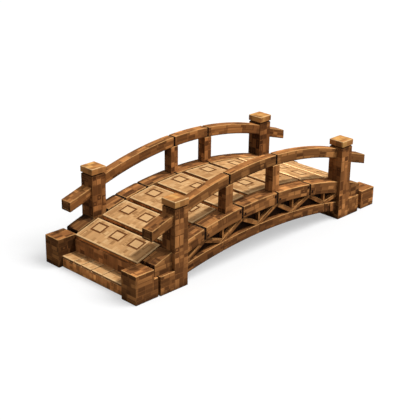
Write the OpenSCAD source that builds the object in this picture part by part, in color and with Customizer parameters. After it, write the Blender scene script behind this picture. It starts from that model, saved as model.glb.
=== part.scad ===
// Wooden moon bridge: a low arched footbridge of heavy square timber.
// Millimetres. +X runs along the bridge, +Y across it, +Z up. It stands on z = 0.

/* [Posts] */
// Distance between post centres along the bridge
post_pitch_x = 2954; // [2800:2:3100]
// Distance between post centres across the bridge
post_pitch_y = 1400; // [1300:2:1500]
// Side of the square post
post_w = 208; // [180:2:220]
// Height of the post with its cap
post_h = 1066; // [1040:2:1100]
// Height of the cap
cap_h = 78; // [60:2:90]
// Overhang of the cap beyond the post on each side
cap_lap = 4; // [2:1:16]
// Chamfer around the top of the cap
cap_chamfer = 8; // [6:1:20]
// Height of the shadow groove under the cap
neck_h = 16; // [6:1:20]
// Depth of the shadow groove under the cap
neck_inset = 14; // [6:1:20]

/* [Ends] */
// Height of the deck's ends and of the near end blocks
entry_h = 355; // [335:1:375]
// Height of the ledges, the post feet and the sills
seat_h = 240; // [225:1:250]
// Length of a post foot
foot_l = 215; // [190:1:240]
// Gap between the foot and the near end block's ledge
foot_gap = 22; // [12:1:30]
// Length of a near end block's low ledge
ledge_l = 61; // [50:1:75]
// Length of an end block's high part
block_l = 273; // [250:1:300]
// Height of the far end blocks, which are plain
far_block_h = 256; // [230:1:300]
// Setback of an end block's outer face from the post's
block_setback = 12; // [4:1:20]
// Clearance between a near end block and the deck, the step and the riser
block_clear = 7; // [4:1:12]
// Distance of the deck's end in front of the back of the end block's high part
deck_lap = 25; // [10:1:40]
// Height of the step
step_h = 145; // [130:1:160]
// Setback of the step from the face of the end blocks
step_setback = 47; // [30:1:60]
// Thickness of the riser under the deck's end
riser_t = 70; // [50:1:90]

/* [Kerb arch] */
// Height of the top of the kerb at mid-span
kerb_crown = 693; // [670:1:715]
// Depth of the kerb
kerb_depth = 154; // [140:1:164]
// Width of the kerb
kerb_w = 204; // [180:2:220]
// Distance of the kerb's centre line inward from the post's
kerb_inset = 37; // [26:1:46]
// Gap between neighbouring lengths of kerb
kerb_gap = 30; // [8:1:36]
// Gap between a kerb's end length and the end block
end_gap = 28; // [12:1:36]
// First kerb joint on the left side, from the near post
left_joint_1 = 273; // [220:1:340]
// Second kerb joint on the left side, from the near post
left_joint_2 = 633; // [560:1:720]

/* [Lower chord and web] */
// Height of the top of the lower chord at mid-span
chord_crown = 371; // [355:1:385]
// Depth of the lower chord
chord_depth = 118; // [100:1:130]
// Width of the lower chord
chord_w = 140; // [110:2:160]
// Gap between neighbouring lengths of the lower chord
chord_gap = 5; // [3:1:10]
// Bays of the web between the posts, counted from the near end
bay_n = 4.4; // [4.2:0.1:4.8]
// Width of a web diagonal
diagonal_w = 56; // [44:1:66]
// Width of a web upright
upright_w = 31; // [24:1:38]
// Thickness of the web
web_t = 54; // [40:2:70]
// Setback of the web from the outer face of the kerb
web_setback = 12; // [6:1:20]
// Thickness of the board behind the web
board_t = 28; // [18:1:36]

/* [Handrail] */
// Rise of the handrail from a post to mid-span
rail_rise = 204; // [180:1:230]
// Drop of the handrail's top below the cap's groove where it meets a post
rail_drop = 13; // [6:1:30]
// Depth of the handrail
rail_depth = 128; // [110:1:140]
// Width of the handrail
rail_w = 120; // [104:2:126]
// Gap between neighbouring lengths of handrail
rail_gap = 28; // [6:1:34]
// Length of a rail stub beyond its post
stub_l = 322; // [280:1:380]
// Fall of a rail stub over its length
stub_fall = 98; // [70:1:130]
// Depth of a rail stub
stub_depth = 126; // [110:1:140]
// Width of a rail stub
stub_w = 164; // [140:2:180]
// Drop of the near right stub's top below the top of its post
near_right_drop = 163; // [140:1:190]
// Drop of the near left stub's top below the top of its post
near_left_drop = 238; // [200:1:270]
// Drop of the far stubs' tops below the tops of their posts
far_drop = 200; // [170:1:230]
// Side of the square baluster
baluster_w = 124; // [110:2:140]
// First baluster on the right side, from mid-span
right_baluster_1 = -632; // [-700:2:-560]
// Second baluster on the right side, from mid-span
right_baluster_2 = 187; // [120:2:260]
// First baluster on the left side, from mid-span
left_baluster_1 = -234; // [-300:2:-170]
// Second baluster on the left side, from mid-span
left_baluster_2 = 366; // [300:2:430]

/* [Deck] */
// Thickness of a deck slab
slab_t = 60; // [50:1:70]
// Largest shift of a deck joint towards the near end
deck_shift = 152; // [110:1:180]
// Skew of the shifts: below 1 the near joints shift more than the far ones
deck_skew = 0.75; // [0.65:0.05:1]
// Gap between neighbouring deck slabs
slab_gap = 66; // [30:1:80]
// Clearance between the deck and the kerb on each side
deck_clear = 20; // [6:1:24]
// Width of a cross bearer
bearer_w = 90; // [70:2:110]
// Height of a cross bearer
bearer_h = 88; // [70:2:92]

/* [Hidden] */
$fn = 480;
slab_n = 8;
timber = [0.48, 0.30, 0.15];
timber_dark = [0.38, 0.22, 0.11];
timber_pale = [0.86, 0.67, 0.43];

post_x = post_pitch_x / 2;
post_y = post_pitch_y / 2;
post_in = post_x - post_w / 2;
post_out = post_x + post_w / 2;
post_side = post_y - post_w / 2;
cap_z = post_h - cap_h;
cap_w = post_w + 2 * cap_lap;

foot_end = post_out + foot_l;
ledge_end = foot_end + foot_gap;
block_back = ledge_end + ledge_l;
block_face = block_back + block_l;
block_out = post_y + post_w / 2 - block_setback;
deck_end = block_back + deck_lap;

kerb_y = post_y - kerb_inset;
kerb_in = kerb_y - kerb_w / 2;
kerb_out = kerb_y + kerb_w / 2;
bay = 2 * post_in / bay_n;
bays = floor(bay_n);

// Each arch is a circle through its crown and a springing point
function arch_r(x, rise) = (x * x + rise * rise) / (2 * rise);
function arch_z(crown, r, x) = crown - r + sqrt(r * r - x * x);
kerb_r = arch_r(deck_end, kerb_crown - entry_h);
chord_r = arch_r(post_in, chord_crown - seat_h);
rail_crown = cap_z - neck_h - rail_drop + rail_rise;
rail_r = arch_r(post_in, rail_rise);
kerb_low = kerb_crown - kerb_depth;
kerb_low_r = kerb_r - kerb_depth;
rail_low = rail_crown - rail_depth;
rail_low_r = rail_r - rail_depth;
everywhere = 2 * block_face;

// Web stations: feet on the lower chord, apexes under the kerb
function foot_x(i) = -post_in + i * bay;
function apex_x(i) = foot_x(i) + bay / 2;
function foot_point(i) = [foot_x(i), arch_z(chord_crown, chord_r, foot_x(i))];
function apex_point(i) = [apex_x(i), arch_z(kerb_low, kerb_low_r, apex_x(i))];

// Deck joints lie on the kerb arch and the slabs are flat between them
deck_half = kerb_in - deck_clear;
block_in = deck_half + block_clear;
slab_pitch = 2 * deck_end / slab_n;
function joint_x(i) = -deck_end + i * slab_pitch - deck_shift * sin(180 * pow(i / slab_n, deck_skew));
function joint_z(i) = arch_z(kerb_crown, kerb_r, joint_x(i));
function slab_l(i) = joint_x(i + 1) - joint_x(i);
function slab_a(i) = atan2(joint_z(i + 1) - joint_z(i), slab_l(i));
function under_z(i, x) = joint_z(i) + (x - joint_x(i)) * tan(slab_a(i)) - slab_t / cos(slab_a(i));
function ridge_x(i) = joint_x(i) + slab_t * sin((slab_a(i - 1) + slab_a(i)) / 2)
    / cos((slab_a(i - 1) - slab_a(i)) / 2);

// Extrudes an XZ profile across the bridge from y0 to y1
module across(y0, y1) {
    translate([0, y1, 0])
        rotate([90, 0, 0])
            linear_extrude(height = y1 - y0)
                children();
}

// Mirrors a far left piece to the near end
module near() {
    mirror([1, 0, 0])
        children();
}

// Mirrors a far left piece to the right side
module right() {
    mirror([0, 1, 0])
        children();
}

// Profile strip between two stations, open upward from z0
module strip(x0, x1, z0 = 0) {
    translate([x0, z0])
        square([x1 - x0, everywhere]);
}

// Profile disc whose top is the crown of an arch
module disc(crown, r) {
    translate([0, crown - r])
        circle(r = r);
}

// Profile of an arched member of even depth between two stations
module arched(crown, r, depth, x0, x1) {
    intersection() {
        difference() {
            disc(crown, r);
            disc(crown - depth, r - depth);
        }
        strip(x0, x1);
    }
}

// Profile of a straight bar run past both its end points
module bar(p, q, w) {
    d = q - p;
    translate(p)
        rotate(atan2(d[1], d[0]))
            translate([-w, -w / 2])
                square([norm(d) + 2 * w, w]);
}

module post() {
    translate([post_in, post_side, 0])
        cube([post_w, post_w, cap_z - neck_h]);
    translate([post_in + neck_inset, post_side + neck_inset, 0])
        cube([post_w - 2 * neck_inset, post_w - 2 * neck_inset, cap_z]);
}

module cap_profile() {
    half = cap_w / 2;
    polygon([
        [-half, 0],
        [half, 0],
        [half, cap_h - cap_chamfer],
        [half - cap_chamfer, cap_h],
        [-half + cap_chamfer, cap_h],
        [-half, cap_h - cap_chamfer]
    ]);
}

module cap() {
    translate([post_x, post_y, cap_z])
        intersection() {
            across(-cap_w / 2, cap_w / 2)
                cap_profile();
            rotate([0, 0, 90])
                across(-cap_w / 2, cap_w / 2)
                    cap_profile();
        }
}

module end_block() {
    across(block_in, block_out)
        polygon([
            [ledge_end, 0],
            [block_face, 0],
            [block_face, entry_h],
            [block_back, entry_h],
            [block_back, seat_h],
            [ledge_end, seat_h]
        ]);
}

// Plain end block of the far end, against the step and the riser
module far_block() {
    translate([block_back, deck_half, 0])
        cube([block_l, block_out - deck_half, far_block_h]);
}

module foot() {
    translate([post_out, post_side, 0])
        cube([foot_l, post_w, seat_h]);
}

module feet() {
    foot();
    near()
        foot();
}

module sill() {
    translate([post_in, -post_side, 0])
        cube([post_w, 2 * post_side, seat_h]);
}

module step() {
    translate([deck_end, -deck_half, 0])
        cube([block_face - step_setback - deck_end, 2 * deck_half, step_h]);
}

// Riser between two stations, its top cut to the underside of an end slab
module riser(i, x0, x1) {
    across(-deck_half, deck_half)
        polygon([[x0, 0], [x1, 0], [x1, under_z(i, x1)], [x0, under_z(i, x0)]]);
}

module kerb_end() {
    across(kerb_in, kerb_out)
        intersection() {
            disc(kerb_crown, kerb_r);
            strip(post_out, block_back - end_gap, seat_h);
        }
}

// Kerb lengths between the posts, parted at the joints, with an end length past each post
module kerb(joints) {
    cuts = concat([-post_in - kerb_gap / 2], joints, [post_in + kerb_gap / 2]);
    across(kerb_in, kerb_out)
        for (i = [0 : len(cuts) - 2])
            arched(kerb_crown, kerb_r, kerb_depth, cuts[i] + kerb_gap / 2, cuts[i + 1] - kerb_gap / 2);
    kerb_end();
    near()
        kerb_end();
}

// Lower chord lengths, parted under the web's uprights
module chord() {
    across(kerb_out - chord_w, kerb_out)
        for (i = [0 : bays])
            arched(chord_crown, chord_r, chord_depth,
                i == 0 ? -post_in : foot_x(i) + chord_gap / 2,
                i == bays ? post_in : foot_x(i + 1) - chord_gap / 2);
}

// Profile of the zigzag bars with an upright at each foot
module web_bars() {
    for (i = [0 : bays]) {
        bar(foot_point(i), apex_point(i), diagonal_w);
        strip(foot_x(i) - upright_w / 2, foot_x(i) + upright_w / 2);
    }
    for (i = [0 : bays - 1])
        bar(apex_point(i), foot_point(i + 1), diagonal_w);
}

// Zigzag web on its board, filling the space between kerb, chord and posts
module web() {
    front = kerb_out - web_setback;
    difference() {
        across(front - web_t - board_t, front)
            intersection() {
                difference() {
                    disc(kerb_low, kerb_low_r);
                    disc(chord_crown, chord_r);
                }
                strip(-post_in, post_in);
            }
        across(front - web_t, front + web_t)
            difference() {
                strip(-post_out, post_out);
                web_bars();
            }
    }
}

module rail(x0, x1) {
    across(kerb_y - rail_w / 2, kerb_y + rail_w / 2)
        arched(rail_crown, rail_r, rail_depth, x0, x1);
}

module stub(drop) {
    z = post_h - drop;
    across(post_y - stub_w / 2, post_y + stub_w / 2)
        polygon([
            [post_out, z - stub_depth],
            [post_out + stub_l, z - stub_fall - stub_depth],
            [post_out + stub_l, z - stub_fall],
            [post_out, z]
        ]);
}

module stubs(near_drop) {
    stub(far_drop);
    near()
        stub(near_drop);
}

// Balusters fill the space between kerb and handrail under the handrail's joints
module balusters(x1, x2) {
    across(kerb_y - baluster_w / 2, kerb_y + baluster_w / 2)
        intersection() {
            difference() {
                disc(rail_low, rail_low_r);
                disc(kerb_crown, kerb_r);
            }
            union() {
                strip(x1 - baluster_w / 2, x1 + baluster_w / 2);
                strip(x2 - baluster_w / 2, x2 + baluster_w / 2);
            }
        }
}

// Flat slab along one chord of the kerb arch, counted from the near end
module slab(i) {
    cut_0 = i == 0 ? 0 : slab_gap / 2;
    cut_1 = i == slab_n - 1 ? 0 : slab_gap / 2;
    translate([joint_x(i), -deck_half, joint_z(i)])
        rotate([0, -slab_a(i), 0])
            translate([cut_0, 0, -slab_t])
                cube([slab_l(i) / cos(slab_a(i)) - cut_0 - cut_1, 2 * deck_half, slab_t]);
}

// Bearer under one slab joint: between the kerbs, or standing on the sill where it is over it
module bearer(i) {
    x0 = ridge_x(i) - bearer_w / 2;
    x1 = ridge_x(i) + bearer_w / 2;
    on_sill = min(abs(x0), abs(x1)) > post_in;
    low = on_sill ? seat_h : under_z(i, ridge_x(i)) - bearer_h;
    across(-kerb_in, kerb_in)
        polygon([
            [x0, low],
            [x1, low],
            [x1, under_z(i, x1)],
            [ridge_x(i), under_z(i, ridge_x(i))],
            [x0, under_z(i - 1, x0)]
        ]);
}

right_joints = [for (i = [0 : bays - 1]) apex_x(i)];
left_joints = [left_joint_1 - post_in, left_joint_2 - post_in, left_baluster_1, left_baluster_2];

module post_near_right() { color(timber) near() right() post(); }
module post_near_left() { color(timber) near() post(); }
module post_far_right() { color(timber) right() post(); }
module post_far_left() { color(timber) post(); }
module cap_near_right() { color(timber) near() right() cap(); }
module cap_near_left() { color(timber) near() cap(); }
module cap_far_right() { color(timber) right() cap(); }
module cap_far_left() { color(timber) cap(); }
module end_block_near_right() { color(timber) near() right() end_block(); }
module end_block_near_left() { color(timber) near() end_block(); }
module end_block_far_right() { color(timber) right() far_block(); }
module end_block_far_left() { color(timber) far_block(); }
module feet_right() { color(timber) right() feet(); }
module feet_left() { color(timber) feet(); }
module sill_near() { color(timber_dark) near() sill(); }
module sill_far() { color(timber_dark) sill(); }
module step_near() { color(timber_pale) near() step(); }
module step_far() { color(timber_pale) step(); }
module riser_near() { color(timber_dark) riser(0, -deck_end, riser_t - deck_end); }
module riser_far() { color(timber_dark) riser(slab_n - 1, deck_end - riser_t, deck_end); }
module kerb_right() { color(timber) right() kerb(right_joints); }
module kerb_left() { color(timber) kerb(left_joints); }
module chord_right() { color(timber) right() chord(); }
module chord_left() { color(timber) chord(); }
module web_right() { color(timber) right() web(); }
module web_left() { color(timber) web(); }
module deck_slab_1() { color(timber_pale) slab(0); }
module deck_slab_2() { color(timber_pale) slab(1); }
module deck_slab_3() { color(timber_pale) slab(2); }
module deck_slab_4() { color(timber_pale) slab(3); }
module deck_slab_5() { color(timber_pale) slab(4); }
module deck_slab_6() { color(timber_pale) slab(5); }
module deck_slab_7() { color(timber_pale) slab(6); }
module deck_slab_8() { color(timber_pale) slab(7); }
module bearers() { color(timber_dark) for (i = [1 : slab_n - 1]) bearer(i); }
module rail_right_1() { color(timber) right() rail(-post_in, right_baluster_1 - rail_gap / 2); }
module rail_right_2() { color(timber) right() rail(right_baluster_1 + rail_gap / 2, right_baluster_2 - rail_gap / 2); }
module rail_right_3() { color(timber) right() rail(right_baluster_2 + rail_gap / 2, post_in); }
module rail_left_1() { color(timber) rail(-post_in, left_baluster_1 - rail_gap / 2); }
module rail_left_2() { color(timber) rail(left_baluster_1 + rail_gap / 2, left_baluster_2 - rail_gap / 2); }
module rail_left_3() { color(timber) rail(left_baluster_2 + rail_gap / 2, post_in); }
module stubs_right() { color(timber) right() stubs(near_right_drop); }
module stubs_left() { color(timber) stubs(near_left_drop); }
module balusters_right() { color(timber) right() balusters(right_baluster_1, right_baluster_2); }
module balusters_left() { color(timber) balusters(left_baluster_1, left_baluster_2); }

post_near_right();
post_near_left();
post_far_right();
post_far_left();
cap_near_right();
cap_near_left();
cap_far_right();
cap_far_left();
end_block_near_right();
end_block_near_left();
end_block_far_right();
end_block_far_left();
feet_right();
feet_left();
sill_near();
sill_far();
step_near();
step_far();
riser_near();
riser_far();
kerb_right();
kerb_left();
chord_right();
chord_left();
web_right();
web_left();
deck_slab_1();
deck_slab_2();
deck_slab_3();
deck_slab_4();
deck_slab_5();
deck_slab_6();
deck_slab_7();
deck_slab_8();
bearers();
rail_right_1();
rail_right_2();
rail_right_3();
rail_left_1();
rail_left_2();
rail_left_3();
stubs_right();
stubs_left();
balusters_right();
balusters_left();
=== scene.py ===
import copy
import math

import bmesh
import bpy
from mathutils import Matrix, Vector


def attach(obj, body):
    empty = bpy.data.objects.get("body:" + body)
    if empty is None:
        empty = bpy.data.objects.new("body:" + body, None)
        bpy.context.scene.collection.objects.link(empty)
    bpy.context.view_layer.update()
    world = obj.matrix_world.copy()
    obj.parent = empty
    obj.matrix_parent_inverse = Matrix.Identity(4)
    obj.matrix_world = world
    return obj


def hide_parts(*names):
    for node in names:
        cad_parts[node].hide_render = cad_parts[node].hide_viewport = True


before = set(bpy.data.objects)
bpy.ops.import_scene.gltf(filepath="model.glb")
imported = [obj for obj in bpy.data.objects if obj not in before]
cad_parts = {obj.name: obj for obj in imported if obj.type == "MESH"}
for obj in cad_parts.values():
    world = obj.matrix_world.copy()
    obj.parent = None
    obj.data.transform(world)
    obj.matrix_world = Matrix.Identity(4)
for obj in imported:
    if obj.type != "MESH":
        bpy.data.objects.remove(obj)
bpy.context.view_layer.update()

# Sizes in metres, as in the frame: X runs along the bridge, Y across it, Z up.
ENDS = (("near", -1), ("far", 1))
SIDES = (("right", -1), ("left", 1))
POST_IN, POST_OUT = 1.373, 1.581
POST_SIDE, POST_FACE = 0.596, 0.804
POST_EDGE = 0.007
NECK_H, NECK_IN, NECK_SHADE = 0.016, 0.014, 0.048
CAP_Z, CAP_TOP, CAP_LAP, CAP_CHAMFER = 0.988, 1.066, 0.004, 0.008
SEAT, ENTRY = 0.240, 0.355
FOOT_END, LEDGE_END, BLOCK_BACK, BLOCK_FACE = 1.796, 1.818, 1.879, 2.152
BLOCK_IN, BLOCK_OUT, FAR_BLOCK_H = 0.548, 0.792, 0.256
DECK_END, DECK_HALF = 1.904, 0.541
STEP_FACE, STEP_TOP, TREAD_T, TREAD_PLAY = 2.105, 0.145, 0.027, 0.006
RISER_BACK = 1.834
KERB_IN, KERB_OUT, KERB_GAP, END_GAP = 0.561, 0.765, 0.030, 0.028
CHORD_IN, CHORD_GAP = 0.625, 0.005
WEB_BACK, WEB_FRONT, BOARD_BACK = 0.699, 0.753, 0.671
DIAGONAL_W, UPRIGHT_W = 0.056, 0.031
RAIL_IN, RAIL_OUT, RAIL_GAP = 0.603, 0.723, 0.028
TONGUE_IN, TONGUE_REACH = 0.007, 0.020
STUB_IN, STUB_OUT, STUB_END, STUB_DEPTH, STUB_FALL = 0.618, 0.782, 1.903, 0.126, 0.098
STUB_TOPS = {"near_right": 0.903, "near_left": 0.828, "far_right": 0.866, "far_left": 0.866}
BALUSTER_W = 0.124
SLAB_T, SLAB_GAP, SLAB_N, DECK_SHIFT, DECK_SKEW = 0.060, 0.066, 8, 0.152, 0.75
RIM, LIP, LIP_FOOT = 0.020, 0.012, 0.020
BEARER_W, BEARER_H = 0.090, 0.088
BALUSTERS = {"right": (-0.632, 0.187), "left": (-0.234, 0.366)}

BAYS = 4.4
BAY = 2 * POST_IN / BAYS
WEB_FEET = [-POST_IN + BAY * i for i in range(5)]
WEB_APEXES = [x + BAY / 2 for x in WEB_FEET]
KERB_JOINTS = {"right": WEB_APEXES[:4], "left": (-1.100, -0.740, -0.234, 0.366)}


class Arch:
    """A circle through its crown and a springing point, and a timber of even depth under it."""

    def __init__(self, crown, spring, reach, depth):
        rise = crown - spring
        self.radius = (reach * reach + rise * rise) / (2 * rise)
        self.crown, self.depth = crown, depth
        self.centre = Vector((0, 0, crown - self.radius))

    def top(self, x):
        return Vector((x, 0, self.centre.z + math.sqrt(self.radius ** 2 - x * x)))

    def under(self, x):
        return Vector((x, 0, self.centre.z + math.sqrt((self.radius - self.depth) ** 2 - x * x)))

    def set_in(self, cover):
        """The same arch with less timber over and under it."""
        inner = copy.copy(self)
        inner.crown, inner.radius, inner.depth = self.crown - cover, self.radius - cover, self.depth - 2 * cover
        return inner

    def out(self, point):
        """Direction away from the arch's centre."""
        return Vector((point.x, 0, point.z - self.centre.z)).normalized()


KERB = Arch(0.693, ENTRY, DECK_END, 0.154)
CHORD = Arch(0.371, SEAT, POST_IN, 0.118)
RAIL = Arch(1.163, 0.959, POST_IN, 0.128)

DECK_JOINTS = [
    KERB.top(DECK_END * (2 * i / SLAB_N - 1) - DECK_SHIFT * math.sin(math.pi * (i / SLAB_N) ** DECK_SKEW))
    for i in range(SLAB_N + 1)
]


# ---------------------------------------------------------------- bench work

def clear_bench():
    if bpy.context.mode != "OBJECT":
        bpy.ops.object.mode_set(mode="OBJECT")
    bpy.ops.object.select_all(action="DESELECT")


def hold(*pieces):
    clear_bench()
    for piece in pieces:
        piece.select_set(True)
    bpy.context.view_layer.objects.active = pieces[0]


def settle(piece):
    """Puts a piece's place, turn and size into its mesh."""
    hold(piece)
    bpy.ops.object.transform_apply(location=True, rotation=True, scale=True)


def open_up(piece, kind="FACE"):
    hold(piece)
    bpy.ops.object.mode_set(mode="EDIT")
    bpy.ops.mesh.select_mode(type=kind)


def pick(piece, kind, test):
    """Opens a piece with only the faces or edges that pass the test selected."""
    open_up(piece, {"faces": "FACE", "edges": "EDGE"}[kind])
    bpy.ops.mesh.select_all(action="DESELECT")
    mesh = bmesh.from_edit_mesh(piece.data)
    for item in getattr(mesh, kind):
        if test(item):
            item.select_set(True)
    bmesh.update_edit_mesh(piece.data)


def clear_of_post(edge):
    return any(v.co.x > POST_OUT + 0.001 for v in edge.verts)


def centre_of(face):
    return face.calc_center_median()


def baulk(name, low, high):
    """A block of squared timber between two corners."""
    low, high = Vector(low), Vector(high)
    clear_bench()
    bpy.ops.mesh.primitive_cube_add(size=1, location=(low + high) / 2)
    piece = bpy.context.object
    piece.scale = high - low
    piece.name = piece.data.name = name
    settle(piece)
    return piece


def saw(piece, point, normal, keep="back"):
    """Cuts a piece through on a plane and keeps what lies behind or in front of it."""
    open_up(piece)
    bpy.ops.mesh.select_all(action="SELECT")
    bpy.ops.mesh.bisect(
        plane_co=point, plane_no=normal, use_fill=True, clear_outer=keep == "back", clear_inner=keep == "front"
    )


def scribe(piece, point, normal, test):
    """Marks a line across the faces that pass the test."""
    pick(piece, "faces", test)
    bpy.ops.mesh.bisect(plane_co=point, plane_no=normal)


def draw_out(piece, test, by):
    """Extrudes the faces that pass the test."""
    pick(piece, "faces", test)
    bpy.ops.mesh.extrude_region_move(TRANSFORM_OT_translate={"value": by})


def face_outward(piece):
    """Merges what meets and turns every face outward."""
    open_up(piece)
    bpy.ops.mesh.select_all(action="SELECT")
    bpy.ops.mesh.remove_doubles(threshold=0.0002)
    bpy.ops.mesh.normals_make_consistent(inside=False)
    if bmesh.from_edit_mesh(piece.data).calc_volume(signed=True) < 0:
        bpy.ops.mesh.flip_normals()
    clear_bench()


def bent_timber(name, arch, y0, y1, x0, x1):
    """An upright section spun round the arch's centre and sawn upright at both ends."""
    slack = 0.03
    inner = arch.radius - arch.depth
    start = math.asin(x0 / inner) - slack
    turn = math.asin(x1 / inner) + slack - start
    clear_bench()
    bpy.ops.mesh.primitive_plane_add(size=1, rotation=(0, math.pi / 2, 0))
    piece = bpy.context.object
    piece.name = piece.data.name = name
    piece.scale = (arch.depth, y1 - y0, 1)
    piece.location = (0, (y0 + y1) / 2, arch.crown - arch.depth / 2)
    settle(piece)
    home = Matrix.Translation(arch.centre)
    piece.matrix_world = home @ Matrix.Rotation(start, 4, "Y") @ home.inverted()
    settle(piece)
    open_up(piece)
    bpy.ops.mesh.select_all(action="SELECT")
    bpy.ops.mesh.spin(
        steps=max(4, round(turn * arch.radius / 0.06)), angle=-turn, center=arch.centre, axis=(0, 1, 0)
    )
    saw(piece, (x0, 0, 0), (1, 0, 0), "front")
    saw(piece, (x1, 0, 0), (1, 0, 0), "back")
    face_outward(piece)
    return piece


def ease(piece, width, test=None):
    """Rounds the sharp edges over. The rounded faces are marked by the second material slot."""
    while len(piece.data.materials) < 2:
        piece.data.materials.append(None)
    pick(
        piece,
        "edges",
        lambda edge: edge.is_manifold and edge.calc_face_angle(0) > 0.6 and (test is None or test(edge)),
    )
    bpy.ops.mesh.bevel(offset=width, segments=2, affect="EDGES", material=1)


def copy_of(piece, name, matrix):
    """A copy with its own mesh, moved, turned or mirrored into place."""
    hold(piece)
    bpy.ops.object.duplicate(linked=False)
    twin = bpy.context.object
    twin.name = twin.data.name = name
    twin.matrix_world = matrix
    settle(twin)
    if matrix.determinant() < 0:
        face_outward(twin)
    return twin


def discard(*pieces):
    hold(*pieces)
    bpy.ops.object.delete()


def shift(x=0, y=0, z=0):
    return Matrix.Translation((x, y, z))


ABOUT_FACE = Matrix.Rotation(math.pi, 4, "Z")
OTHER_SIDE = Matrix.Diagonal((1, -1, 1, 1))

# ---------------------------------------------------------------- grain of each timber

ALONG_X = Matrix(((1, 0, 0), (0, 1, 0), (0, 0, 1)))
ALONG_Y = Matrix(((0, 1, 0), (1, 0, 0), (0, 0, 1)))
ALONG_Z = Matrix(((0, 0, 1), (1, 0, 0), (0, 1, 0)))
timber_count = 548  # timbers are numbered on from here, and the number picks the pattern


def straight(turn, home=None):
    """Reads a straight timber along its length, across it and up it."""
    back = home.inverted() if home else Matrix.Identity(4)

    def read(point, normal):
        return turn @ (back @ point), turn @ (back.to_3x3() @ normal)

    return read


def round_an(arch):
    """Reads a bent timber along the arch, across it and outward."""

    def read(point, normal):
        out = arch.out(point)
        ahead = Vector((out.z, 0, -out.x))
        angle = math.atan2(out.x, out.z)
        reach = math.hypot(point.x, point.z - arch.centre.z)
        return (
            Vector((angle * arch.radius, point.y, reach)),
            Vector((normal.dot(ahead), normal.y, normal.dot(out))),
        )

    return read


def lay_grain(piece, read, length, course, dark=None, tone=1.0):
    """Stores where each face corner lies along the grain, in patch lengths, and across it, in courses,
    with a number for the face. Stores too each face's edge mark: a painted highlight with wear on upper
    rounded edges, painted shade on lower ones, and the darkening that the dark test gives. Stores its tone
    as well, which is painted light and shade."""
    global timber_count
    timber_count += 1
    clear_bench()
    mesh = piece.data
    up = Vector((0, 0, 1))
    places = [read(v.co, up)[0] for v in mesh.vertices]
    low = [min(p[i] for p in places) for i in range(3)]
    high = [max(p[i] for p in places) for i in range(3)]
    courses = [max(1, round((high[i] - low[i]) / course)) for i in range(3)]
    grain, edge = [], []
    for face in mesh.polygons:
        normal = read(face.center, face.normal)[1]
        axis = max(range(3), key=lambda i: abs(normal[i]))
        a, b = ((1, 2), (0, 2), (0, 1))[axis]
        number = timber_count * 8 + axis * 2 + (normal[axis] > 0)
        for i in face.vertices:
            across = (places[i][b] - low[b]) / max(high[b] - low[b], 1e-6)
            grain += ((places[i][a] - low[a]) / length, across * courses[b], number)
        # Darkening from the dark test: painted shade in joints and under caps, and the dark colour of pegs and end
        # grain.
        dark_amount = dark(face) if dark else 0
        if dark_amount:
            edge.append(-dark_amount)
        elif face.material_index == 0:
            edge.append(0)
        else:
            # Painted highlight with wear on upper rounded edges, painted shade on lower ones, a little highlight on
            # upright ones.
            edge.append(1 if face.normal.z > 0.2 else -1 if face.normal.z < -0.2 else 0.12)
    mesh.attributes.new("grain", "FLOAT_VECTOR", "CORNER").data.foreach_set("vector", grain)
    mesh.attributes.new("edge", "FLOAT", "FACE").data.foreach_set("value", edge)
    # The tone is painted light and shade for each face, mostly by which way the face looks.
    mesh.attributes.new("tone", "FLOAT", "FACE").data.foreach_set(
        "value", [tone(face) if callable(tone) else tone for face in mesh.polygons]
    )
    mesh.polygons.foreach_set("material_index", [0] * len(mesh.polygons))
    mesh.materials.clear()


# Painted shade on the end faces, which stand in the joint gaps.
def shaded_joint_ends(face):
    return 2 if abs(face.normal.x) > 0.9 else 0


# Dark all over: painted shade on the tongues inside the joint gaps, and the own dark colour of the pegs.
def all_dark(face):
    return 2


def top_and_sides(over, beside):
    return lambda face: over if face.normal.z > 0.5 else beside


def near_and_rest(ahead, rest):
    return lambda face: ahead if face.normal.x < -0.5 else rest


def mark(piece, name, value_of):
    """Stores a number for each face."""
    clear_bench()
    values = [float(value_of(face)) for face in piece.data.polygons]
    piece.data.attributes.new(name, "FLOAT", "FACE").data.foreach_set("value", values)


def fit(pieces, name, nodes, finish):
    """Joins the lengths of one member, smooths the rounded edges and sets it in the frame."""
    hold(*pieces)
    if len(pieces) > 1:
        bpy.ops.object.join()
    piece = bpy.context.object
    piece.name = piece.data.name = name
    piece.data.materials.clear()
    piece.data.materials.append(finish)
    bpy.ops.object.shade_smooth_by_angle(angle=math.radians(40))
    weigh = piece.modifiers.new("even_faces", "WEIGHTED_NORMAL")
    weigh.keep_sharp = True
    bpy.ops.object.modifier_apply(modifier=weigh.name)
    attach(piece, "root")
    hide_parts(*nodes)
    return piece


# ---------------------------------------------------------------- finishes

def put(tree, kind, links=None, **settings):
    node = tree.nodes.new(f"ShaderNode{kind}")
    for key, value in settings.items():
        setattr(node, key, value)
    for socket, value in (links or {}).items():
        if isinstance(value, bpy.types.NodeSocket):
            tree.links.new(value, node.inputs[socket])
        else:
            node.inputs[socket].default_value = value
    return node


def reckon(operation, *values):
    tree = next(value.id_data for value in values if isinstance(value, bpy.types.NodeSocket))
    return put(tree, "Math", dict(enumerate(values)), operation=operation).outputs[0]


def times(a, b):
    return reckon("MULTIPLY", a, b)


def blend(share, a, b):
    return put(share.id_data, "Mix", {0: share, 2: a, 3: b}, data_type="FLOAT").outputs[0]


def tint(share, a, b):
    return put(share.id_data, "Mix", {0: share, 6: a, 7: b}, data_type="RGBA").outputs[2]


def vector(x, y, z):
    return put(x.id_data, "CombineXYZ", {0: x, 1: y, 2: z}).outputs[0]


def chance(x, y, z):
    """Three even random numbers for a whole-number place."""
    noise = put(x.id_data, "TexWhiteNoise", {"Vector": vector(x, y, z)}, noise_dimensions="3D")
    return put(x.id_data, "SeparateColor", {0: noise.outputs["Color"]}).outputs


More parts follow.
